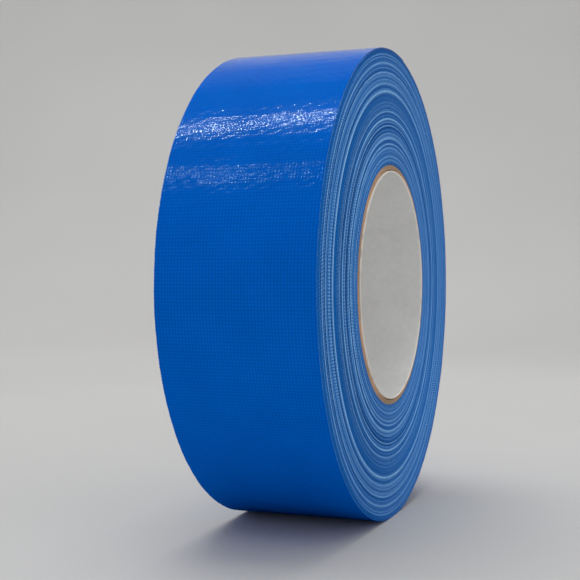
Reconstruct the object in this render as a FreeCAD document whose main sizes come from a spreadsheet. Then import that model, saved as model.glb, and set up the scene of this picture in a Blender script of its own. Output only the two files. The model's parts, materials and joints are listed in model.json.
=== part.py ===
import FreeCAD, Part
import os
import Sketcher

# Roll of cloth-backed duct tape, standing on its rim.
#
# The roll's axis lies along Y and the origin is the centre of the core's bore, with +Z up. The tape is
# one strip, wound as a spiral round a paper tube. Its free end lies just past the top of the roll, on the
# +X side, and the last lap comes over the top from the -X side.
#
# Angles round the roll are measured in the XZ plane, from +X towards +Z. The last lap runs back from the
# free end in that same sense. Each turn of the spiral is drawn as two half circles, whose centres stand a
# quarter of the tape's thickness either side of the bore's axis, so a turn ends one thickness lower.

PARTS_FOLDER = "parts"

# Driving dimensions, in millimetres and degrees.
DRIVING = [
    ("roll_diameter", 158.0),
    ("tape_width", 50.0),
    ("bore_diameter", 76.2),
    ("liner_thickness", 0.45),
    ("body_ply_thickness", 0.4),
    ("body_ply_count", 4),
    ("outer_ply_thickness", 0.35),
    ("film_thickness", 0.09),
    ("scrim_thickness", 0.08),
    ("adhesive_thickness", 0.10),
    ("free_end_past_top", 9.0),
    ("lifting_segments", 8),
    ("segment_angle", 7.5),
    ("underside_clearance", 0.03),
    ("flat_depth", 0.15),
]

# Dimensions worked out from the driving ones.
DERIVED = [
    ("roll_radius", "=roll_diameter / 2"),
    ("bore_radius", "=bore_diameter / 2"),
    ("body_plies_radius", "=bore_radius + liner_thickness"),
    ("outer_ply_radius", "=body_plies_radius + body_ply_count * body_ply_thickness"),
    ("core_radius", "=outer_ply_radius + outer_ply_thickness"),
    ("scrim_depth", "=film_thickness"),
    ("adhesive_depth", "=scrim_depth + scrim_thickness"),
    ("tape_thickness", "=adhesive_depth + adhesive_thickness"),
    ("centre_shift", "=tape_thickness / 4"),
    ("last_half_radius", "=roll_radius - centre_shift"),
    ("first_half_radius", "=roll_radius - 3 * centre_shift"),
    ("free_end_angle", "=90 - free_end_past_top"),
    ("lifting_angle", "=lifting_segments * segment_angle"),
    ("flat_level", "=roll_radius - tape_thickness / 2 - flat_depth"),
]

# The tape's layers from the outside in: name, depth of the top face, depth of the bottom face.
LAYERS = [
    ("film", "0", "Sizes.scrim_depth"),
    ("scrim", "Sizes.scrim_depth", "Sizes.adhesive_depth"),
    ("adhesive", "Sizes.adhesive_depth", "Sizes.tape_thickness"),
]

doc = FreeCAD.newDocument("TapeRoll")
sheet = doc.addObject("Spreadsheet::Sheet", "Sizes")
pieces = []


def fill_sheet():
    """Write each dimension into the sheet: its name in column A, its value in column B, aliased."""
    for row, (alias, value) in enumerate(DRIVING + DERIVED, start=1):
        sheet.set("A%d" % row, alias)
        sheet.set("B%d" % row, str(value))
        sheet.setAlias("B%d" % row, alias)
    doc.recompute()


def add_piece(feature, label):
    """Give a finished piece its own label and list it for export."""
    feature.Label = label
    pieces.append(feature)


def paper_ply(label, inner_radius, outer_radius):
    """One ply of the core: a paper tube along Y, padded both ways from the roll's middle plane."""
    body = doc.addObject("PartDesign::Body", label)
    middle_plane = next(plane for plane in body.Origin.OriginFeatures if plane.Role == "XZ_Plane")
    sketch = body.newObject("Sketcher::SketchObject", label + "_section")
    sketch.AttachmentSupport = (middle_plane, [""])
    sketch.MapMode = "FlatFace"
    for wall, radius in (("inner", inner_radius), ("outer", outer_radius)):
        circle = Part.Circle(FreeCAD.Vector(), FreeCAD.Vector(0, 0, 1), sheet.core_radius)
        index = sketch.addGeometry(circle, False)
        sketch.addConstraint(Sketcher.Constraint("Coincident", index, 3, -1, 1))
        sketch.addConstraint(Sketcher.Constraint("Radius", index, sheet.core_radius))
        sketch.renameConstraint(sketch.ConstraintCount - 1, wall + "_radius")
        sketch.setExpression("Constraints.%s_radius" % wall, radius)
    pad = body.newObject("PartDesign::Pad", label + "_pad")
    pad.Profile = sketch
    pad.SideType = "Symmetric"
    pad.setExpression("Length", "Sizes.tape_width")
    add_piece(body, label)


def sector(name, radius, shift, start_angle, angle):
    """A solid sector of the roll, as wide as the tape, from start_angle on round the roll's axis.

    Its centre stands `shift` from the bore's axis, towards the free end.
    """
    cylinder = doc.addObject("Part::Cylinder", name)
    cylinder.setExpression("Radius", radius)
    cylinder.setExpression("Height", "Sizes.tape_width")
    cylinder.setExpression("Angle", angle)
    centre = "vector(%s * cos(Sizes.free_end_angle); Sizes.tape_width / 2; %s * sin(Sizes.free_end_angle))"
    turn = "rotation(vector(0; 1; 0); -1 * (%s)) * rotation(vector(1; 0; 0); 90)" % start_angle
    cylinder.setExpression("Placement", "placement(%s; %s)" % (centre % (shift, shift), turn))
    return cylinder


def cut(name, base, tool):
    """The base with the tool taken away."""
    feature = doc.addObject("Part::Cut", name)
    feature.Base = base
    feature.Tool = tool
    return feature


def lap_disc(name, depth):
    """The whole roll inside one turn of the spiral that lies `depth` below the last lap's outer face.

    The standing weight has pressed a small flat into its lowest part.
    """
    last_half = sector(name + "_last_half", "Sizes.last_half_radius - %s" % depth,
                       "Sizes.centre_shift", "Sizes.free_end_angle", "180")
    first_half = sector(name + "_first_half", "Sizes.first_half_radius - %s" % depth,
                        "-1 * Sizes.centre_shift", "Sizes.free_end_angle + 180", "180")
    spiral = doc.addObject("Part::Fuse", name + "_spiral")
    spiral.Base = last_half
    spiral.Tool = first_half
    ground = doc.addObject("Part::Box", name + "_ground")
    ground.setExpression("Length", "2 * Sizes.roll_diameter")
    ground.setExpression("Width", "2 * Sizes.tape_width")
    ground.setExpression("Height", "Sizes.tape_width")
    ground.setExpression("Placement.Base.x", "-1 * Sizes.roll_diameter")
    ground.setExpression("Placement.Base.y", "-1 * Sizes.tape_width")
    ground.setExpression("Placement.Base.z", "%s - Sizes.flat_level - Sizes.tape_width" % depth)
    return cut(name, spiral, ground)


def make_core():
    """Spiral-wound paper tube: a pale liner, four kraft plies and a smooth outer ply."""
    paper_ply("core_liner_ply", "Sizes.bore_radius", "Sizes.body_plies_radius")
    for number in range(1, round(sheet.body_ply_count) + 1):
        ply_radius = "Sizes.body_plies_radius + %d * Sizes.body_ply_thickness"
        paper_ply("core_body_ply_%d" % number, ply_radius % (number - 1), ply_radius % number)
    paper_ply("core_outer_ply", "Sizes.outer_ply_radius", "Sizes.core_radius")


def make_winding():
    """All the turns below the last lap, as one ring round the core."""
    core = sector("core_space", "Sizes.core_radius", "0", "0", "360")
    add_piece(cut("wound_tape", lap_disc("buried_turns", "Sizes.tape_thickness"), core), "wound_tape")


def make_last_lap():
    """The three layers of the last lap, from where the free end lifts off, round to below its tip."""
    for layer, top, bottom in LAYERS:
        name = "last_lap_" + layer
        ring = cut(name + "_turn", lap_disc(name + "_top", top), lap_disc(name + "_bottom", bottom))
        lifting = sector(name + "_lifting", "Sizes.roll_diameter", "Sizes.centre_shift",
                         "Sizes.free_end_angle", "Sizes.lifting_angle")
        add_piece(cut(name, ring, lifting), name)


def make_free_end():
    """The lifting stretch of the tape, in equal segments, the first one next to the laid tape.

    Its underside keeps a hairline clearance over the turn below.
    """
    for number in range(1, round(sheet.lifting_segments) + 1):
        start = "Sizes.free_end_angle + Sizes.lifting_angle - %d * Sizes.segment_angle" % number
        for layer, top, bottom in LAYERS:
            if layer == "adhesive":
                bottom = "(%s - Sizes.underside_clearance)" % bottom
            name = "free_end_%s_%d" % (layer, number)
            outer = sector(name + "_outer", "Sizes.last_half_radius - %s" % top,
                           "Sizes.centre_shift", start, "Sizes.segment_angle")
            inner = sector(name + "_inner", "Sizes.last_half_radius - %s" % bottom,
                           "Sizes.centre_shift", start, "Sizes.segment_angle")
            add_piece(cut(name, outer, inner), name)


def check_document():
    """Stop if any object failed to compute, or a piece isn't one valid solid."""
    for feature in doc.Objects:
        if "Invalid" in feature.State or "Error" in feature.State:
            raise RuntimeError("%s failed: %s" % (feature.Label, feature.State))
    for piece in pieces:
        shape = piece.Shape
        if shape.isNull() or not shape.isValid() or len(shape.Solids) != 1:
            raise RuntimeError("%s is not one valid solid" % piece.Label)


def export_pieces():
    """Write each piece to a STEP file named after its label."""
    os.makedirs(PARTS_FOLDER, exist_ok=True)
    for piece in pieces:
        piece.Shape.exportStep("%s/%s.step" % (PARTS_FOLDER, piece.Label))
        print("%-24s %10.2f mm3" % (piece.Label, piece.Shape.Volume))


fill_sheet()
make_core()
make_winding()
make_last_lap()
make_free_end()
doc.recompute()
check_document()
export_pieces()
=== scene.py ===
"""Looks of the duct tape roll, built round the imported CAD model.

Sizes in this script are millimetres, and each mesh is scaled to metres when it is made. Only the lights and
the materials' textures use metres, as Blender takes them. The roll's axis is Y. A point of the tape is given
by its winding angle in degrees, which runs back along the tape from the free end, its place across the
width, and its depth below the last lap's outer face.
"""

import json
import math

import bpy
import numpy as np
from mathutils import Matrix, Vector


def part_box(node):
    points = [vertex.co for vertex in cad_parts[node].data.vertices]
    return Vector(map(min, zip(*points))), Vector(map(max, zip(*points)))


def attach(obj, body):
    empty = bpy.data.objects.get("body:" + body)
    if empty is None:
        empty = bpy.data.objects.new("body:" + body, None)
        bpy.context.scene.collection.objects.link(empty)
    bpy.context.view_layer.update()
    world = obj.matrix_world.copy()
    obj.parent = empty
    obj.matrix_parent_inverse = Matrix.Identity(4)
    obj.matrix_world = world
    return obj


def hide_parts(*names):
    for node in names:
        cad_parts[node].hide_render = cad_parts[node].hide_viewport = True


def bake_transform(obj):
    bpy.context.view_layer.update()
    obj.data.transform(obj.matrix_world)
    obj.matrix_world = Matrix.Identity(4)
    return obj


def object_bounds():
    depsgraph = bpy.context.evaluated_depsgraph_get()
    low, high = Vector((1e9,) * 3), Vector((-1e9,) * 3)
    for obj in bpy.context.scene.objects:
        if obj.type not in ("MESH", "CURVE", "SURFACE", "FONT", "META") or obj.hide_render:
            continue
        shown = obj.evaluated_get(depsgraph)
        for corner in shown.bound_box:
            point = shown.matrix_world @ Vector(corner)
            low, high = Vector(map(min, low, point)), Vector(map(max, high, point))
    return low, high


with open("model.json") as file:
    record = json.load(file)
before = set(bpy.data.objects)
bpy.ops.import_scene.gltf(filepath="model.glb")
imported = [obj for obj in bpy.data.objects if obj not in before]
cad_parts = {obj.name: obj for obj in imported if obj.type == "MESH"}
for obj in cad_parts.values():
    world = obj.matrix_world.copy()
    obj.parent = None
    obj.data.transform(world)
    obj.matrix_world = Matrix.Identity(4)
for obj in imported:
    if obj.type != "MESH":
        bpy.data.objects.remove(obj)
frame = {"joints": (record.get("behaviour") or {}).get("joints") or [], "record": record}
cad_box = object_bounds()

MM = 0.001
FULL_TURN = 360.0

# Tape make-up
FILM = 0.09
SCRIM = 0.08
ADHESIVE = 0.10
TAPE = FILM + SCRIM + ADHESIVE

# How deep the flat is that the roll stands on. It fades out towards the core
FLAT_DEPTH = 0.15

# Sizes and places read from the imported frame
HINGES = [joint["pos_m"] for joint in frame["joints"]]
HINGE_ANGLES = [math.degrees(math.atan2(z, x)) for x, _, z in HINGES]
SEGMENT = (HINGE_ANGLES[0] - HINGE_ANGLES[-1]) / (len(HINGES) - 1)
FREE_END = HINGE_ANGLES[-1] - SEGMENT
ROLL_RADIUS = math.hypot(HINGES[-1][0], HINGES[-1][2]) / MM
HALF_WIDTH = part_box("wound_tape")[1].y / MM
CORE_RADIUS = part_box("core_outer_ply")[1].z / MM
BORE_RADIUS = next(m for m in frame["record"]["mounts"] if m["name"] == "core_bore")["dims"]["r_mm"]
FLOOR = cad_box[0].z / MM

# Weave: ten cells to each lifting segment along the tape, and fifty across it
CELLS_PER_SEGMENT = 10
CELLS_ACROSS = 50
ARC_PER_DEGREE = math.radians(1) * ROLL_RADIUS
CELL_LONG = SEGMENT * ARC_PER_DEGREE / CELLS_PER_SEGMENT
CELL_WIDE = 2 * HALF_WIDTH / CELLS_ACROSS
SAMPLES_PER_CELL = 4

# How far the film stands out over the yarns, how much of the weft's relief a crossing warp yarn takes away,
# and how far the loose film waves and puckers
WEFT_RELIEF = 0.02
WARP_RELIEF = 0.03
CROSSING_DIP = 0.6
FILM_WAVE = 0.029
FILM_PUCKER = 0.018

# Lean of the film over a window: its size, the shares that are the window's own and common to several
# windows in a row, and how many windows are in such a row
TILT = 0.055
OWN_LEAN = 0.5
COMMON_LEAN = 0.7
COMMON_WINDOWS = 3

# How far the cut edges of the film and of the adhesive wander, and how near an edge a point counts as on it
FILM_EDGE = 0.04
ADHESIVE_EDGE = 0.03
EDGE_TOLERANCE = 0.01

# The free end's underside: its gap to the turn below, and the yarns' relief in it
UNDERSIDE_GAP = 0.03
UNDERSIDE_SHARE = 0.5
UNDERSIDE_LIMIT = 0.02

# Yarns: half widths and half heights, how far they go over and under, and how far the weft's ends stand out
WARP_SECTION = (0.17, SCRIM * 0.28)
WEFT_SECTION = (0.2, SCRIM * 0.3)
YARN_LIFT = SCRIM * 0.22
SCRIM_MIDDLE = FILM + SCRIM / 2
OVERHANG = 0.12
OVERHANG_SPREAD = 0.1

# The last lap is drawn as arcs of ten segments, or nine, from half a segment before the first hinge
LAP_START = (len(HINGES) + 0.5) * SEGMENT
LAP_ARCS = [10, 10, 10, 10, 9]
LAP_END = LAP_START + sum(LAP_ARCS) * SEGMENT

rng = np.random.default_rng(11)


# ---------------------------------------------------------------- shapes of the tape


def waves(count, shortest, longest, seed):
    """A sum of plane waves of random direction and phase: a smooth height field, mostly from -1 to 1."""
    draw = np.random.default_rng(seed)
    lengths = draw.uniform(shortest, longest, count)
    headings = draw.uniform(0, math.tau, count)
    phases = draw.uniform(0, math.tau, count)
    scale = 1 / math.sqrt(count)

    def height(u, v):
        total = 0
        for length, heading, phase in zip(lengths, headings, phases):
            along = (u * math.cos(heading) + v * math.sin(heading)) / length
            total = total + np.sin(math.tau * along + phase)
        return scale * total

    return height


film_waviness = waves(count=9, shortest=9, longest=40, seed=3)
film_pucker = waves(count=14, shortest=1.6, longest=5, seed=4)
edge_wander = waves(count=8, shortest=2, longest=30, seed=5)


def place(angle, across, depth):
    """Points at these winding angles, places across the width and depths, kept above the floor."""
    angle, across, depth = np.broadcast_arrays(angle, across, depth)
    turn = np.radians(FREE_END + angle)
    radius = ROLL_RADIUS - TAPE * angle / FULL_TURN - depth
    share = np.clip((radius - CORE_RADIUS) / (ROLL_RADIUS - CORE_RADIUS), 0, 1)
    height = np.maximum(radius * np.sin(turn), FLAT_DEPTH * share - radius)
    return np.stack([radius * np.cos(turn), across, np.maximum(height, FLOOR)], -1)


def ridge(cells):
    """1 on each yarn's line, falling to 0 midway between two yarns."""
    return 0.5 + 0.5 * np.cos(math.tau * cells)


def cell_coordinates(angle, across):
    """Cells along the tape and across it. Whole numbers lie midway between two yarns."""
    return angle * ARC_PER_DEGREE / CELL_LONG, across / CELL_WIDE


def scatter(first, second):
    """A fixed random number from -1 to 1 for each pair of whole numbers, by the usual sine hash."""
    mixed = np.sin(first * 12.9898 + second * 78.233) * 43758.5453
    return 2 * (mixed - np.floor(mixed)) - 1


def window_tilt(along, wide):
    """Film stretched over a window between yarns leans a little, partly together with its neighbours.

    The whole numbers added to rows and columns keep the three draws apart.
    """
    row, column = np.round(along), np.round(wide)
    common = scatter(np.floor(row / COMMON_WINDOWS), column + 500)
    lean_long = OWN_LEAN * scatter(row, column) + COMMON_LEAN * common
    lean_wide = scatter(row + 900, column)
    inside = ridge(along) * ridge(wide)
    return TILT * inside * (lean_long * (along - row) + lean_wide * (wide - column))


def emboss(angle, across):
    """How far the film stands out from its nominal face."""
    along, wide = cell_coordinates(angle, across)
    weft = ridge(along + 0.5)
    warp = ridge(wide + 0.5)
    u = angle * ARC_PER_DEGREE
    relief = WARP_RELIEF * warp + WEFT_RELIEF * weft * (1 - CROSSING_DIP * warp)
    loose = FILM_WAVE * film_waviness(u, across) + FILM_PUCKER * film_pucker(u, across)
    return relief + loose + window_tilt(along, wide)


# ---------------------------------------------------------------- mesh building


def grid_faces(rows, columns, first=0, flip=False):
    """Quads of a grid of points that are numbered row by row from first."""
    index = first + np.arange(rows * columns).reshape(rows, columns)
    corners = [index[:-1, :-1], index[1:, :-1], index[1:, 1:], index[:-1, 1:]]
    if flip:
        corners.reverse()
    return np.stack(corners, -1).reshape(-1, 4).tolist()


SHARP_ANGLE = math.radians(50)


def new_piece(name, points, faces, material, uv=None, tint=None):
    """An object from points in millimetres, shaded smooth except where faces meet sharply.

    uv holds a coordinate for each point, or for each face corner.
    """
    mesh = bpy.data.meshes.new(name)
    mesh.from_pydata((np.asarray(points).reshape(-1, 3) * MM).tolist(), [], faces)
    mesh.update()
    if uv is not None:
        uv = np.asarray(uv, np.float32)
        if len(uv) != len(mesh.loops):
            corner = np.empty(len(mesh.loops), np.int32)
            mesh.loops.foreach_get("vertex_index", corner)
            uv = uv[corner]
        layer = mesh.uv_layers.new(name="Strip")
        layer.data.foreach_set("uv", uv.ravel())
    if tint is not None:
        layer = mesh.attributes.new("tint", "FLOAT", "POINT")
        layer.data.foreach_set("value", np.asarray(tint, np.float32).ravel())
    mesh.shade_smooth()
    mesh.set_sharp_from_angle(angle=SHARP_ANGLE)
    mesh.materials.append(material)
    piece = bpy.data.objects.new(name, mesh)
    bpy.context.scene.collection.objects.link(piece)
    return piece


def closed_strip(outer, inner):
    """Points and faces of a closed slab between two grids that have the same number of rows."""
    rows, many, few = outer.shape[0], outer.shape[1], inner.shape[1]
    first = rows * many
    faces = grid_faces(rows, many, flip=True) + grid_faces(rows, few, first)
    for row in range(rows - 1):
        a, b = row * many, first + row * few
        faces.append((a, a + many, b + few, b))
        a, b = a + many - 1, b + few - 1
        faces.append((a, b, b + few, a + many))
    top, bottom = list(range(many)), [first + i for i in range(few)]
    faces.append(top + bottom[::-1])
    top = [(rows - 1) * many + i for i in range(many)]
    bottom = [first + (rows - 1) * few + i for i in range(few)]
    faces.append(bottom + top[::-1])
    return np.concatenate([outer.reshape(-1, 3), inner.reshape(-1, 3)]), faces


def strip_samples(start, end):
    """Winding angles of a strip's rows, SAMPLES_PER_CELL of them to a cell."""
    count = round((end - start) / SEGMENT * CELLS_PER_SEGMENT * SAMPLES_PER_CELL)
    return np.linspace(start, end, count + 1)[:, None]


def width_samples(columns):
    """Places across the tape's width."""
    return np.linspace(-HALF_WIDTH, HALF_WIDTH, columns + 1)[None, :]


def ragged(angle, across, amount):
    """The places across the width, with the two cut edges wandering by about this amount."""
    at_edge = np.where(np.abs(across) > HALF_WIDTH - EDGE_TOLERANCE, 1.0, 0.0)
    return across + at_edge * amount * edge_wander(angle * ARC_PER_DEGREE, across)


def strip_uv(*grids):
    """Cell coordinates for each grid's points, one grid after another."""
    flat = []
    for angle, across in grids:
        along, wide = np.broadcast_arrays(*cell_coordinates(angle, across))
        flat.append(np.stack([along, wide], -1).reshape(-1, 2))
    return np.concatenate(flat)


# ---------------------------------------------------------------- the tape's three layers


def film_strip(name, start, end, material):
    """A stretch of the film, embossed by the yarns below it."""
    angle = strip_samples(start, end)
    fine = width_samples(CELLS_ACROSS * SAMPLES_PER_CELL)
    edges = width_samples(1)
    outer = place(angle, ragged(angle, fine, FILM_EDGE), -emboss(angle, fine))
    inner = place(angle, edges, FILM)
    points, faces = closed_strip(outer, inner)
    return new_piece(name, points, faces, material, uv=strip_uv((angle, fine), (angle, edges)))


def adhesive_strip(name, start, end, material, fine_underside):
    """A stretch of the adhesive. Its underside shows the yarns where it is seen, on the free end."""
    angle = strip_samples(start, end)
    fine = width_samples(CELLS_ACROSS * SAMPLES_PER_CELL if fine_underside else 1)
    if not fine_underside:
        angle = angle[::SAMPLES_PER_CELL]
    edges = width_samples(1)
    relief = UNDERSIDE_SHARE * emboss(angle, fine) if fine_underside else 0
    depth = TAPE - UNDERSIDE_GAP + np.minimum(relief, UNDERSIDE_LIMIT)
    outer = place(angle, edges, FILM + SCRIM)
    inner = place(angle, ragged(angle, fine, ADHESIVE_EDGE), depth)
    points, faces = closed_strip(outer, inner)
    return new_piece(name, points, faces, material, uv=strip_uv((angle, edges), (angle, fine)))


def yarn_tubes(paths, section, first):
    """Flat yarns of four sides, one along each path of (points, sideways, outwards).

    Their points are numbered from first, and the next free number comes back with the points and faces.
    """
    width, height = section
    points, faces = [], []
    for line, side, out in paths:
        ring = [line + side * width, line + out * height, line - side * width, line - out * height]
        points.append(np.stack(ring, 1).reshape(-1, 3))
        count = len(line)
        for i in range(count - 1):
            for k in range(4):
                a, b = first + 4 * i + k, first + 4 * i + (k + 1) % 4
                faces.append((a, b, b + 4, a + 4))
        faces.append(tuple(first + k for k in (3, 2, 1, 0)))
        faces.append(tuple(first + 4 * (count - 1) + k for k in range(4)))
        first += 4 * count
    return points, faces, first


def warp_paths(start, end, steps):
    """The yarns along a stretch of tape, each over one weft yarn and under the next."""
    angle = start + (end - start) * np.arange(steps + 1) / steps
    turn = np.radians(FREE_END + angle)
    outward = np.stack([np.cos(turn), np.zeros_like(turn), np.sin(turn)], -1)
    sideways = np.tile([0.0, 1.0, 0.0], (len(turn), 1))
    paths = []
    for column in range(CELLS_ACROSS):
        across = -HALF_WIDTH + (column + 0.5) * CELL_WIDE
        phase = np.cos(math.pi * (angle * ARC_PER_DEGREE / CELL_LONG + column))
        paths.append((place(angle, across, SCRIM_MIDDLE - YARN_LIFT * phase), sideways, outward))
    return paths


def weft_paths(start, end, cells, steps):
    """The yarns across a stretch of tape. Their cut ends stand out of it unevenly."""
    paths = []
    for row in range(cells):
        angle = start + (row + 0.5) * (end - start) / cells
        reach = HALF_WIDTH + OVERHANG + OVERHANG_SPREAD * rng.uniform(-1, 1)
        across = np.linspace(-reach, reach, steps + 1)
        phase = -np.cos(math.pi * (across / CELL_WIDE + row))
        turn = math.radians(FREE_END + angle)
        outward = np.tile([math.cos(turn), 0.0, math.sin(turn)], (len(across), 1))
        sideways = np.tile([math.sin(turn), 0.0, -math.cos(turn)], (len(across), 1))
        paths.append((place(angle, across, SCRIM_MIDDLE - YARN_LIFT * phase), sideways, outward))
    return paths


def scrim_net(name, start, end, samples, material):
    """A stretch of the woven scrim, with this many steps of each yarn to a cell."""
    cells = round((end - start) / SEGMENT * CELLS_PER_SEGMENT)
    warp = warp_paths(start, end, cells * samples)
    points, faces, first = yarn_tubes(warp, WARP_SECTION, 0)
    weft = weft_paths(start, end, cells, CELLS_ACROSS * samples)
    more_points, more_faces, _ = yarn_tubes(weft, WEFT_SECTION, first)
    return new_piece(name, np.concatenate(points + more_points), faces + more_faces, material)


# ---------------------------------------------------------------- the turns below


# Rings that stand out on the side faces: radius, half width, height, paleness, and whether yarn ends show.
# The half widths and heights are drawn at the two shares that follow the list
SIDE_RINGS = [
    (78.4, 0.35, 0.05, 0.3, False),
    (77.0, 0.45, 0.12, 0.6, True),
    (76.0, 0.35, 0.08, 0.4, True),
    (74.1, 0.50, 0.20, 0.7, False),
    (72.5, 0.30, 0.05, 0.3, True),
    (71.2, 0.50, 0.16, 0.7, True),
    (69.9, 0.30, 0.06, 0.3, False),
    (68.6, 0.40, 0.12, 0.5, False),
    (67.4, 0.40, 0.15, 0.6, False),
    (64.8, 0.60, 0.28, 0.9, False),
    (61.2, 0.30, 0.06, 0.3, False),
    (59.8, 0.40, 0.10, 0.5, True),
    (58.2, 0.50, 0.16, 0.6, False),
    (55.8, 0.55, 0.26, 0.9, False),
    (53.6, 0.45, 0.18, 0.7, True),
    (51.2, 0.40, 0.10, 0.5, False),
    (49.4, 0.55, 0.24, 0.8, False),
    (47.5, 0.45, 0.14, 0.6, True),
    (46.1, 0.30, 0.08, 0.4, False),
    (44.9, 0.35, 0.10, 0.5, False),
    (43.5, 0.40, 0.15, 0.7, True),
    (42.3, 0.30, 0.10, 0.6, False),
    (41.3, 0.25, 0.06, 0.4, False),
]
RING_SHARPNESS = 0.5
RING_RELIEF = 0.5

# Columns of the list
HEIGHT = 2
PALENESS = 3

# Between these two radii the film's edges cover the yarn: fully where the roll looks towards -X, and by this
# share elsewhere. They also do outside a third radius, which is smaller towards -X
PLAIN_BAND = (61.7, 64.0)
PLAIN_FADE = 0.5
BAND_COVER = 0.3
PLAIN_RIM = 77.6
PLAIN_RIM_SHIFT = 2.2

# How far the side faces lie inside the tape's nominal width, apart from the rings, how deep the grooves
# between turns are, and how far whole laps and shorter stretches of the edge wander in and out. The last
# size is how far a degree of turn goes through the field that the shorter stretches follow
RECESS = 0.1
GROOVE = 0.08
LAP_WANDER = 0.036
STRETCH_WANDER = 0.03
STRETCH_PER_DEGREE = 0.3

# Points of each spiral on a side face
SAMPLES_PER_TURN = 144

# Tint of the side faces, from 0 in the darkest groove to 1 on the palest yarn: its base, the rings, the
# spread between laps, and painted light and shade that change with the place on the roll: painted light at
# the roll's top and bottom, painted shade towards -X, and painted light and shade on the rings' relief
# towards -X, where the rings show more
BASE_TINT = 0.46
RING_TINT = 1.1
LAP_TINT = 0.34
LEVEL_PAINTED_LIGHT = 0.07
FRONT_PAINTED_SHADE = 0.16
FRONT_RING_PAINTED_CONTRAST = 0.5

# The same where the film's edges cover the yarn, and how much darker a groove is there and elsewhere
PLAIN_TINT = 0.24
PLAIN_SHADE = 0.06
GROOVE_SHADE = 0.24


def ring_profile(radius, column):
    """The height or the paleness of the rings as a function of the radius."""
    total = np.zeros_like(radius)
    for ring in SIDE_RINGS:
        away = (radius - ring[0]) / (RING_SHARPNESS * ring[1])
        total = np.maximum(total, ring[column] * np.exp(-away * away))
    return total


def front_share(turn):
    """1 where the roll looks towards -X, falling to 0 at its top and bottom. The turn is in radians."""
    return np.clip(-np.cos(turn), 0, 1)


def plain_share(radius, turn):
    """1 where the film's edges cover the yarn, fading to 0 elsewhere."""
    front = front_share(turn)
    inner, outer = PLAIN_BAND
    band = np.clip((radius - inner) / PLAIN_FADE, 0, 1) * np.clip((outer - radius) / PLAIN_FADE, 0, 1)
    rim = PLAIN_RIM - PLAIN_RIM_SHIFT * front
    return np.maximum(band * (BAND_COVER + (1 - BAND_COVER) * front), np.clip(radius - rim, 0, 1))


def side_tint(radius, turn, own, groove):
    """Tint of a side face at this radius and turn, in a groove or not, with painted shade in the grooves,
    painted light at the roll's top and bottom, and painted shade and stronger painted ring contrast towards
    -X. own is the lap's part of it.
    """
    front = front_share(turn)
    rings = RING_TINT * ring_profile(radius, PALENESS) + own
    # Painted light lifts the tint at the roll's top and bottom, and painted shade lowers it towards -X
    base = BASE_TINT + LEVEL_PAINTED_LIGHT * np.sin(turn) ** 2 - FRONT_PAINTED_SHADE * front
    # Towards -X the rings get more contrast: painted light and shade on their relief
    frayed = base + (1 + FRONT_RING_PAINTED_CONTRAST * front) * rings
    plain = plain_share(radius, turn)
    shade = GROOVE_SHADE - (GROOVE_SHADE - PLAIN_SHADE) * plain if groove else 0.0
    return frayed * (1 - plain) + PLAIN_TINT * plain - shade


def side_spiral(side, angle, depth, wander, pale, groove):
    """Points and tints along one spiral on a side face. wander and pale hold a number for each lap."""
    lap = (angle - LAP_END) / FULL_TURN
    laps = np.arange(len(wander))
    radius = ROLL_RADIUS - TAPE * angle / FULL_TURN
    height = RING_RELIEF * ring_profile(radius, HEIGHT) + np.interp(lap, laps, wander)
    height = height + STRETCH_WANDER * edge_wander(angle * STRETCH_PER_DEGREE, radius)
    height = height - RECESS - (GROOVE if groove else 0.0)
    points = place(angle, 0.0, depth)
    points[:, 1] = side * (HALF_WIDTH + height)
    return points, side_tint(radius, np.radians(FREE_END + angle), np.interp(lap, laps, pale), groove)


def side_faces(groove_angle, count):
    """Faces of the side face at -Y, between groove and crest points, and their strip coordinates."""
    length = np.radians(groove_angle) * (ROLL_RADIUS - TAPE * groove_angle / (2 * FULL_TURN))
    cells = (length / CELL_LONG).tolist()
    lap = ((groove_angle - LAP_END) / FULL_TURN).tolist()
    crest = len(groove_angle)
    faces, uv = [], []
    for i in range(count):
        over = i + SAMPLES_PER_TURN
        here, after = cells[i], cells[i + 1]
        low, middle, high = lap[i], lap[i] + 0.5, lap[i] + 1
        faces.append((i, i + 1, crest + i + 1, crest + i))
        uv.append(((here, low), (after, low), (after, middle), (here, middle)))
        faces.append((crest + i, crest + i + 1, over + 1, over))
        uv.append(((here, middle), (after, middle), (after, high), (here, high)))
    return faces, uv


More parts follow.
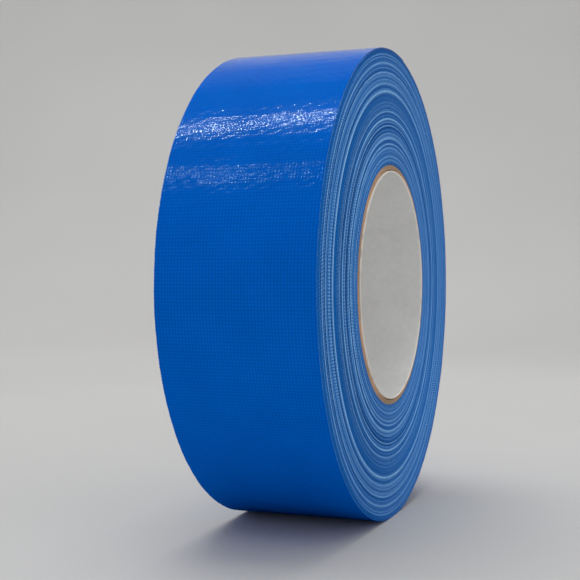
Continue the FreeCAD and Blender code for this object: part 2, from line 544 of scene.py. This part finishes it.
def winding(name, material):
    """All the turns below the last lap: one spiral whose edges make the roll's two side faces.

    Each side face has a line of groove points between turns and a line of crest points along their middles.
    """
    turns = (ROLL_RADIUS - CORE_RADIUS) / TAPE - LAP_END / FULL_TURN
    count = int(turns * SAMPLES_PER_TURN) - SAMPLES_PER_TURN
    groove_angle = LAP_END + FULL_TURN / SAMPLES_PER_TURN * np.arange(count + SAMPLES_PER_TURN + 1)
    crest_angle = groove_angle[: count + 1]
    lap_count = int(turns) + 3
    points, tints = [], []
    for side in (-1, 1):
        wander = rng.normal(0, LAP_WANDER, lap_count)
        pale = rng.uniform(-LAP_TINT, LAP_TINT, lap_count)
        for angle, depth, groove in ((groove_angle, 0.0, True), (crest_angle, TAPE / 2, False)):
            line, tint = side_spiral(side, angle, depth, wander, pale, groove)
            points.append(line)
            tints.append(tint)
    faces, uv = side_faces(groove_angle, count)
    crest = len(groove_angle)
    total = crest + len(crest_angle)
    faces += [tuple(total + k for k in face[::-1]) for face in faces]
    uv += [corners[::-1] for corners in uv]
    outer_loop = list(range(SAMPLES_PER_TURN + 1)) + [crest]
    inner_loop = list(range(count, count + SAMPLES_PER_TURN + 1)) + [crest + count]
    for loop, outward in ((outer_loop, True), (inner_loop, False)):
        for a, b in zip(loop, loop[1:] + loop[:1]):
            wall = (a, a + total, b + total, b)
            faces.append(wall if outward else wall[::-1])
            uv.append(((0.0, 0.0),) * 4)
    uv = np.array(uv).reshape(-1, 2)
    return new_piece(name, np.concatenate(points), faces, material, uv=uv, tint=np.concatenate(tints))


# Cut yarn ends on the frayed rings: the share that is missing, and where the film's edges hide the rest
MISSING_ENDS = 0.3
COVERED = 0.3

# Their jitter as a share of their spacing, their size, how far their tips stand out and lean, how far they
# stray from the ring, how deep they start, and how much narrower the tip is
END_JITTER = 0.12
END_SIZE = 0.16
END_SIZE_SPREAD = 0.05
END_REACH = 0.12
END_LEAN = 0.12
END_DRIFT = 0.06
END_ROOT = 0.15
END_TAPER = 0.75

# Outline of an end, along the turn and outwards, for a size of 1
END_OUTLINE = ((1.25, 0), (0, 0.6), (-1.25, 0), (0, -0.6))


def yarn_ends(name, side, material):
    """Cut ends of weft yarns that stand out of one side face on the frayed rings."""
    points, faces = [], []
    for radius, _, height, _, frayed in SIDE_RINGS:
        if not frayed:
            continue
        count = int(math.tau * radius / CELL_LONG)
        for k in range(count):
            turn = math.tau * (k + rng.uniform(-END_JITTER, END_JITTER)) / count
            if rng.uniform() < MISSING_ENDS or plain_share(radius, turn) > COVERED:
                continue
            size = END_SIZE + END_SIZE_SPREAD * rng.uniform(-1, 1)
            reach = side * (HALF_WIDTH - RECESS + RING_RELIEF * height + END_REACH * rng.uniform(0.2, 1))
            lean = rng.uniform(-END_LEAN, END_LEAN, 2)
            centre = radius + rng.uniform(-END_DRIFT, END_DRIFT)
            out = np.array([math.cos(turn), 0.0, math.sin(turn)])
            along = np.array([-math.sin(turn), 0.0, math.cos(turn)])
            base = out * centre + np.array([0.0, side * (HALF_WIDTH - END_ROOT), 0.0])
            tip = out * (centre + lean[0]) + along * lean[1] + np.array([0.0, reach, 0.0])
            first = len(points)
            for middle, scale in ((base, 1.0), (tip, END_TAPER)):
                for a, b in END_OUTLINE:
                    points.append(middle + scale * size * (a * along + b * out))
            ring = [0, 1, 2, 3] if side < 0 else [3, 2, 1, 0]
            for i in range(4):
                p, q = ring[i], ring[(i + 1) % 4]
                faces.append((first + p, first + q, first + q + 4, first + p + 4))
            faces.append(tuple(first + 4 + p for p in ring))
            faces.append(tuple(first + p for p in ring[::-1]))
    return new_piece(name, np.array(points), faces, material)


# ---------------------------------------------------------------- the paper core


TUBE_SIDES = 240
TUBE_ROWS = 24

# A ply's ends: their bevel as a share of its thickness, how far their middle stands out, and their ripples.
# A narrow row of faces keeps the soft shading of the bevel off the bore's wall
BEVEL_SHARE = 0.3
END_CROWN = 0.03
END_RIPPLE = 0.05
END_STRIP = 0.4

# The seam in the bore: its pitch, its height, and how many turns it fades out over on either side
SEAM_PITCH = 95.0
SEAM_HEIGHT = 0.05
SEAM_SPAN = 1 / 40


def paper_tube(name, inner, outer, material, proud, seam_height):
    """A wound paper ply: a tube with softened, slightly uneven ends, and perhaps a helical seam inside."""
    turn = math.tau * np.arange(TUBE_SIDES) / TUBE_SIDES
    wander = waves(count=7, shortest=3, longest=40, seed=int(outer * 100))
    bevel = (outer - inner) * BEVEL_SHARE
    middle = (inner + outer) / 2
    half = HALF_WIDTH + proud
    crown = half + END_CROWN
    reach = half - bevel
    places = [-reach, *np.linspace(END_STRIP - reach, reach - END_STRIP, TUBE_ROWS), reach]
    profile = [(inner, across, 0) for across in places]
    profile += [(inner + bevel, half, 1), (middle, crown, 1), (outer - bevel, half, 1)]
    profile += [(outer, reach, 0), (outer, -reach, 0)]
    profile += [(outer - bevel, -half, 1), (middle, -crown, 1), (inner + bevel, -half, 1)]
    points = []
    for radius, across, at_end in profile:
        if radius == inner:
            helix = turn / math.tau - across / SEAM_PITCH
            away = np.abs(helix - np.round(helix))
            radius = radius + seam_height * np.clip(1 - away / SEAM_SPAN, 0, 1)
        ripple = at_end * END_RIPPLE * wander(turn * outer, np.full(TUBE_SIDES, across))
        across = across + ripple * np.sign(across)
        points.append(np.stack([radius * np.cos(turn), across, radius * np.sin(turn)], -1))
    count = len(profile)
    faces = []
    for j in range(count):
        k = (j + 1) % count
        for i in range(TUBE_SIDES):
            n = (i + 1) % TUBE_SIDES
            faces.append([row * TUBE_SIDES + column for row, column in ((j, i), (k, i), (k, n), (j, n))])
    return new_piece(name, np.concatenate(points), faces, material)


# ---------------------------------------------------------------- materials


# Colours are linear, and a pair is the darker and the lighter shade of one material
# The film's deeper blue is painted over the yarns' lines as their shadow, and in random mottles
FILM_BLUE = (0.0, 0.165, 0.79)
FILM_DEEP_BLUE = (0.0, 0.10, 0.53)
NAVY = (0.006, 0.045, 0.19)
AZURE = (0.002, 0.15, 0.55)
DUSTY_BLUE = (0.065, 0.245, 0.64)
PALE_BLUE = (0.12, 0.38, 0.94)
CHALK_BLUE = (0.34, 0.66, 1.0)
YARN_BLUE = ((0.05, 0.24, 0.60), (0.16, 0.43, 0.85))
YARN_END_BLUE = ((0.08, 0.31, 0.78), (0.24, 0.54, 0.98))
ADHESIVE_BLUE = ((0.20, 0.36, 0.62), (0.34, 0.51, 0.76))
LINER_END = (0.97, 0.92, 0.84)
FILM_GLINT = (0.5, 0.85, 1.0, 1.0)

# How fast a cut end's tint sets in as a face turns to look along the roll's axis
END_TINT_GAIN = 4.0

# How fast a yarn's line fades towards the window beside it
LINE_SHARPNESS = 3.4

# Roughness of the film: its base, and what the yarns below and the scuffs add
FILM_ROUGHNESS = 0.05
YARN_DULLNESS = 0.07
SCUFF = 0.05

# Cut edges: the flecks' spread, the gain and offset that turn the tint into a share of bare yarn, and the
# gain and offset of the dots that the yarn's ends make on it
FLECK = 0.3
BARE_GAIN = 1.8
BARE_START = 0.5
DOT_GAIN = 2.6
DOT_LEVEL = 0.35


class Nodes:
    """A material's node tree, with short calls for the nodes that it is made of."""

    def __init__(self, name):
        self.material = bpy.data.materials.new(name)
        self.material.use_nodes = True
        self.tree = self.material.node_tree
        self.shader = self.tree.nodes["Principled BSDF"]

    def add(self, kind, **settings):
        """A new node with these properties."""
        node = self.tree.nodes.new(kind)
        for key, value in settings.items():
            setattr(node, key, value)
        return node

    def link(self, output, target):
        self.tree.links.new(output, target)

    def math(self, operation, a, b=None, clamp=False):
        """A Math node. a and b are numbers or other nodes' outputs."""
        node = self.add("ShaderNodeMath", operation=operation, use_clamp=clamp)
        for socket, value in zip(node.inputs, (a, b)):
            if value is None:
                continue
            if isinstance(value, (int, float)):
                socket.default_value = value
            else:
                self.link(value, socket)
        return node.outputs[0]

    def mixture(self, a, b, share):
        """This share of the first value, and the rest of the second."""
        return self.math("ADD", self.math("MULTIPLY", a, share), self.math("MULTIPLY", b, 1 - share))

    def noise(self, scale, detail=3.0, roughness=0.5):
        """Noise in the piece's own coordinates, in metres."""
        node = self.add("ShaderNodeTexNoise")
        node.inputs["Scale"].default_value = scale
        node.inputs["Detail"].default_value = detail
        node.inputs["Roughness"].default_value = roughness
        self.link(self.add("ShaderNodeTexCoord").outputs["Object"], node.inputs["Vector"])
        return node.outputs["Fac"]

    def ramp(self, value, stops):
        """A colour for the value, between stops of (position, colour)."""
        node = self.add("ShaderNodeValToRGB")
        elements = node.color_ramp.elements
        while len(elements) < len(stops):
            elements.new(0.5)
        for element, (position, colour) in zip(elements, stops):
            element.position = position
            element.color = (*colour, 1.0)
        self.link(value, node.inputs["Fac"])
        return node.outputs["Color"]

    def end_tint(self, colour, tint):
        """The colour, changing to another tint on faces that look along the roll's axis: the cut ends."""
        split = self.add("ShaderNodeSeparateXYZ")
        self.link(self.add("ShaderNodeTexCoord").outputs["Normal"], split.inputs[0])
        mix = self.add("ShaderNodeMix", data_type="RGBA")
        facing = self.math("MULTIPLY", self.math("ABSOLUTE", split.outputs["Y"]), END_TINT_GAIN, clamp=True)
        self.link(facing, mix.inputs[0])
        self.link(colour, mix.inputs[6])
        mix.inputs[7].default_value = (*tint, 1.0)
        return mix.outputs[2]

    def bump(self, height, strength, distance):
        """Fine relief in the shading only. The distance is in metres."""
        node = self.add("ShaderNodeBump")
        node.inputs["Strength"].default_value = strength
        node.inputs["Distance"].default_value = distance
        self.link(height, node.inputs["Height"])
        self.link(node.outputs["Normal"], self.shader.inputs["Normal"])

    def paint(self, colour):
        """Use this output as the base colour."""
        self.link(colour, self.shader.inputs["Base Color"])

    def set(self, **values):
        """Set the shader's own sockets, with _ for a space in their names."""
        for key, value in values.items():
            self.shader.inputs[key.replace("_", " ")].default_value = value


def cell_axes(nodes):
    """The strip's cell coordinates, along the tape and across it."""
    split = nodes.add("ShaderNodeSeparateXYZ")
    nodes.link(nodes.add("ShaderNodeUVMap", uv_map="Strip").outputs["UV"], split.inputs[0])
    return split.outputs[0], split.outputs[1]


def cell_middle(nodes, axis):
    """1 in the middle of each cell along this axis, falling to 0 before the cell ends."""
    away = nodes.math("ABSOLUTE", nodes.math("SUBTRACT", nodes.math("FRACT", axis), 0.5))
    return nodes.math("SUBTRACT", 1.0, nodes.math("MULTIPLY", away, LINE_SHARPNESS), clamp=True)


def grid_lines(nodes):
    """1 over the scrim's yarns and 0 in the windows between them."""
    along, wide = cell_axes(nodes)
    return nodes.math("MAXIMUM", cell_middle(nodes, along), cell_middle(nodes, wide))


def film_material():
    """Glossy blue polyethylene film, duller over the yarns and painted darker there as the yarns' shadow,
    with random mottles, lightly scuffed.
    """
    nodes = Nodes("blue_film")
    lines = grid_lines(nodes)
    mixed = nodes.mixture(lines, nodes.noise(scale=60, detail=4), 0.6)
    # Painted shadow of the yarns: the film's deeper blue over their lines, mixed with random mottles
    nodes.paint(nodes.ramp(mixed, [(0.1, FILM_BLUE), (0.9, FILM_DEEP_BLUE)]))
    scuff = nodes.math("MULTIPLY", nodes.noise(scale=900, detail=2), SCUFF)
    dull = nodes.math("ADD", nodes.math("MULTIPLY", lines, YARN_DULLNESS), FILM_ROUGHNESS)
    nodes.link(nodes.math("ADD", scuff, dull), nodes.shader.inputs["Roughness"])
    nodes.set(Specular_IOR_Level=0.12, Specular_Tint=FILM_GLINT)
    return nodes.material


def winding_material():
    """Cut tape edges: blue film, paler yarn and adhesive, with painted shade in the grooves between turns
    and painted light and shade that change with the place on the roll.
    """
    nodes = Nodes("cut_edges")
    tint = nodes.add("ShaderNodeAttribute", attribute_name="tint").outputs["Fac"]
    speckle = nodes.noise(scale=1400, detail=2)
    fleck = nodes.math("MULTIPLY", nodes.math("SUBTRACT", speckle, 0.5), FLECK)
    bare = nodes.math("SUBTRACT", nodes.math("MULTIPLY", tint, BARE_GAIN), BARE_START, clamp=True)
    patches = nodes.noise(scale=260, detail=3)
    patchy = nodes.math("MULTIPLY", nodes.math("MULTIPLY", patches, DOT_GAIN), bare)
    dots = cell_middle(nodes, cell_axes(nodes)[0])
    ends = nodes.math("MULTIPLY", nodes.math("SUBTRACT", dots, DOT_LEVEL), patchy)
    value = nodes.math("ADD", nodes.math("ADD", tint, fleck), ends)
    blues = [(0.0, NAVY), (0.2, AZURE), (0.5, DUSTY_BLUE), (0.8, PALE_BLUE), (1.0, CHALK_BLUE)]
    nodes.paint(nodes.ramp(value, blues))
    nodes.bump(nodes.noise(scale=3000, detail=2), strength=0.5, distance=0.00006)
    nodes.set(Roughness=0.6, Specular_IOR_Level=0.06)
    return nodes.material


def scrim_material():
    """Blue-stained polyester and cotton yarn."""
    nodes = Nodes("scrim_yarn")
    fibre = nodes.noise(scale=2200)
    nodes.paint(nodes.ramp(fibre, [(0.3, YARN_BLUE[0]), (0.7, YARN_BLUE[1])]))
    nodes.bump(fibre, strength=0.6, distance=0.00005)
    nodes.set(Roughness=0.8, Sheen_Weight=0.2)
    return nodes.material


def yarn_end_material():
    """Cut yarn ends, paler than the yarn."""
    nodes = Nodes("yarn_ends")
    fibre = nodes.noise(scale=2200)
    nodes.paint(nodes.ramp(fibre, [(0.3, YARN_END_BLUE[0]), (0.7, YARN_END_BLUE[1])]))
    nodes.set(Roughness=0.8)
    return nodes.material


def adhesive_material():
    """Rubber adhesive, half glossy, with the yarns and the blue film showing through."""
    nodes = Nodes("adhesive")
    mixed = nodes.mixture(grid_lines(nodes), nodes.noise(scale=180, detail=4), 0.5)
    colour = nodes.ramp(mixed, [(0.2, ADHESIVE_BLUE[0]), (0.8, ADHESIVE_BLUE[1])])
    nodes.paint(nodes.end_tint(colour, AZURE))
    nodes.bump(nodes.noise(scale=1500), strength=0.4, distance=0.00004)
    nodes.set(Roughness=0.42)
    return nodes.material


def paper_material(name, light, dark, fibre_scale, end_tint=None):
    """Paper: short fibres, blotches and a soft matte surface. The cut ends may be of another tint."""
    nodes = Nodes(name)
    fibres = nodes.noise(fibre_scale, detail=6, roughness=0.7)
    mixed = nodes.mixture(fibres, nodes.noise(scale=70), 0.5)
    colour = nodes.ramp(mixed, [(0.38, dark), (0.62, light)])
    nodes.paint(nodes.end_tint(colour, end_tint) if end_tint else colour)
    nodes.bump(fibres, strength=0.5, distance=0.00008)
    nodes.set(Roughness=0.85, Specular_IOR_Level=0.25)
    return nodes.material


def plain_material(name, colour):
    """The floor and backdrop, very faintly mottled."""
    nodes = Nodes(name)
    darker, lighter = (tuple(c * k for c in colour) for k in (0.97, 1.03))
    nodes.paint(nodes.ramp(nodes.noise(scale=3, detail=2), [(0.3, darker), (0.7, lighter)]))
    nodes.set(Roughness=0.8, Specular_IOR_Level=0.2)
    return nodes.material


# ---------------------------------------------------------------- assembly


def tape_layers(pattern, start, end, paints, fine):
    """One stretch of tape: each layer with its piece, named by the pattern, and its slot.

    A fine stretch has smoother yarns, and an underside that shows them.
    """
    film, scrim, glue = paints
    return [
        ("film", film_strip(pattern % "film", start, end, film), "tape_film"),
        ("scrim", scrim_net(pattern % "scrim", start, end, 2 if fine else 1, scrim), "scrim_cloth"),
        ("adhesive", adhesive_strip(pattern % "adhesive", start, end, glue, fine), "adhesive"),
    ]


def make_last_lap(paints):
    """The last lap in arcs. One that runs on past a full turn also stands for part of the turns below."""
    start = LAP_START
    for number, segments in enumerate(LAP_ARCS, start=1):
        end = start + segments * SEGMENT
        below = ["wound_tape"] if end > FULL_TURN else []
        for layer, piece, slot in tape_layers("last_lap_%%s_arc_%d" % number, start, end, paints, False):
            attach(piece, "roll")
            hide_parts("last_lap_" + layer, *below)
        start = end


def make_free_end(paints):
    """The free end, in pieces that reach from the middle of one segment to the middle of the next."""
    count = len(HINGES)
    for number in range(1, count + 2):
        end = (count - number + 1.5) * SEGMENT
        start = max(0.0, end - SEGMENT)
        for layer, piece, slot in tape_layers("free_end_%%s_piece_%d" % number, start, end, paints, True):
            if number > count:
                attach(piece, "free_end_%d" % count)
            else:
                first = place(end, 0.0, 0.0) * MM
                last = place(start, 0.0, 0.0) * MM
                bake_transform(piece)
            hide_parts("free_end_%s_%d" % (layer, min(number, count)))


def make_tape():
    """The last lap and the free end, each as film, scrim and adhesive."""
    paints = (film_material(), scrim_material(), adhesive_material())
    make_last_lap(paints)
    make_free_end(paints)


def make_winding():
    """The turns below, and the yarn ends that stand out of them."""
    body = winding("turns_below", winding_material())
    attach(body, "roll")
    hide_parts("wound_tape")
    yarn = yarn_end_material()
    for name, side in (("yarn_ends_near", -1), ("yarn_ends_far", 1)):
        ends = yarn_ends(name, side, yarn)
        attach(ends, "roll")


# The core's plies from the bore outwards: how far each end stands out, and its paper
PLIES = [
    ("core_liner_ply", 0.30, "liner"),
    # This ply's end sits back, and its kraft is painted dark as the shade in that recess
    ("core_body_ply_1", -0.30, "dark"),
    ("core_body_ply_2", 0.00, "kraft"),
    ("core_body_ply_3", 0.08, "kraft"),
    ("core_body_ply_4", -0.05, "kraft"),
    ("core_outer_ply", -0.20, "grey"),
]


def make_core():
    """The six paper plies, each a little longer or shorter than the next."""
    papers = {
        "liner": paper_material("liner_paper", (0.82, 0.815, 0.80), (0.74, 0.735, 0.72), 500, LINER_END),
        # The ply next to the liner is kraft painted darker: painted shade in its recessed end
        "dark": paper_material("dark_kraft", (0.34, 0.20, 0.11), (0.24, 0.14, 0.07), 900),
        "kraft": paper_material("kraft", (0.72, 0.43, 0.25), (0.48, 0.34, 0.24), 900),
        "grey": paper_material("grey_kraft", (0.52, 0.50, 0.49), (0.38, 0.35, 0.33), 900),
    }
    inner = BORE_RADIUS
    for name, proud, paper in PLIES:
        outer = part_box(name)[1].z / MM
        seam_height = SEAM_HEIGHT if paper == "liner" else 0.0
        piece = paper_tube(name + "_paper", inner, outer, papers[paper], proud, seam_height)
        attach(piece, "roll")
        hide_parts(name)
        inner = outer


# ---------------------------------------------------------------- camera, stage and lights


# Camera: its place in millimetres, its heading from +Y towards +X and its tilt in degrees
CAMERA_PLACE = (-377.6, -129.9, 3.5)
CAMERA_HEADING = 69.34
CAMERA_TILT = -0.77
CAMERA_LENS = 71.4


def make_camera():
    """A short telephoto just off the plane of the roll's near face."""
    data = bpy.data.cameras.new("camera")
    data.lens = CAMERA_LENS
    data.sensor_width = 36
    data.clip_start = 0.01
    camera = bpy.data.objects.new("camera", data)
    camera.location = [v * MM for v in CAMERA_PLACE]
    camera.rotation_euler = (math.radians(90 + CAMERA_TILT), 0, math.radians(-CAMERA_HEADING))
    bpy.context.scene.collection.objects.link(camera)
    bpy.context.scene.camera = camera


# The stage: a floor just below the roll, which bends up into a backdrop this far behind the roll
STAGE_LEVEL = FLOOR - 0.02
STAGE_DEPTH = 900.0
STAGE_BEND = 500.0
STAGE_REACH = 2500.0
BACKDROP_TOP = 2600.0
STAGE_COLOUR = (0.60, 0.595, 0.585)


def make_stage():
    """A pale floor, and a backdrop that curves up out of it behind the roll."""
    heading = math.radians(CAMERA_HEADING)
    forward = np.array([math.sin(heading), math.cos(heading), 0.0])
    sideways = np.array([math.cos(heading), -math.sin(heading), 0.0])
    curve = []
    for turn in np.linspace(0, math.pi / 2, 16):
        distance = STAGE_DEPTH + STAGE_BEND * math.sin(turn)
        curve.append((distance, STAGE_LEVEL + STAGE_BEND * (1 - math.cos(turn))))
    floor = [(-STAGE_REACH, STAGE_LEVEL), (STAGE_DEPTH, STAGE_LEVEL)]
    backdrop = curve + [(STAGE_DEPTH + STAGE_BEND, BACKDROP_TOP)]
    paint = plain_material("stage_paint", STAGE_COLOUR)
    for name, profile in (("floor", floor), ("backdrop", backdrop)):
        points = []
        for distance, height in profile:
            for side in (-1, 1):
                across = sideways * side * STAGE_REACH
                points.append(forward * distance + across + np.array([0, 0, height]))
        part = new_piece(name, np.array(points), grid_faces(len(profile), 2, flip=True), paint)
        part.visible_glossy = name == "backdrop"


# Lights: name, place, direction of the long side, size across that side and along it, and watts
MIRRORED_LIGHTS = [
    ("overhead_strip", (-0.175, 0.40, 1.0), (-0.35, 0.94, 0), (0.012, 1.0), 5.4),
    ("side_lamp_left", (-0.57, 0.42, 0.7), (-0.39, 0.92, 0), (0.016, 0.08), 0.24),
    ("side_lamp_right", (-0.54, 0.325, 0.7), (-0.39, 0.92, 0), (0.016, 0.07), 0.10),
]
SOFT_LIGHTS = [
    ("top_soft", (0.35, 0.25, 1.5), (1, 0, 0), (1.2, 1.2), 11.0),
    ("top_wide", (0.0, 0.0, 1.4), (1, 0, 0), (2.4, 2.4), 9.0),
    ("right_fill", (-0.5, -1.4, 0.3), (1, 0, 0), (1.2, 1.2), 2.5),
    ("front_fill", (-1.5, -0.3, 0.2), (0, 1, 0), (1.2, 1.2), 1.7),
]
SURROUND_COLOUR = (0.78, 0.79, 0.80, 1)
SURROUND_STRENGTH = 0.505


def area_light(name, location, long_side, size, power, mirrored):
    """A rectangular light aimed at the roll, with its long side along the given direction.

    A mirrored light makes only glints, and the others make none.
    """
    data = bpy.data.lights.new(name, "AREA")
    data.shape = "RECTANGLE"
    data.size, data.size_y = size
    data.energy = power
    light = bpy.data.objects.new(name, data)
    backward = Vector(location).normalized()
    sideways = Vector(long_side).cross(backward).normalized()
    turn = Matrix((sideways, backward.cross(sideways), backward)).transposed().to_4x4()
    light.matrix_world = Matrix.Translation(location) @ turn
    light.visible_glossy = mirrored
    light.visible_diffuse = not mirrored
    bpy.context.scene.collection.objects.link(light)


def make_lights():
    """Studio light: narrow lamps that the film mirrors, soft boxes that it doesn't, and a dim surround."""
    for light in MIRRORED_LIGHTS:
        area_light(*light, mirrored=True)
    for light in SOFT_LIGHTS:
        area_light(*light, mirrored=False)
    world = bpy.data.worlds.new("surround")
    world.use_nodes = True
    background = world.node_tree.nodes["Background"]
    background.inputs["Color"].default_value = SURROUND_COLOUR
    background.inputs["Strength"].default_value = SURROUND_STRENGTH
    world.cycles_visibility.glossy = False
    bpy.context.scene.world = world


bpy.context.scene.view_settings.view_transform = "Standard"
make_camera()
make_stage()
make_lights()
make_core()
make_winding()
make_tape()
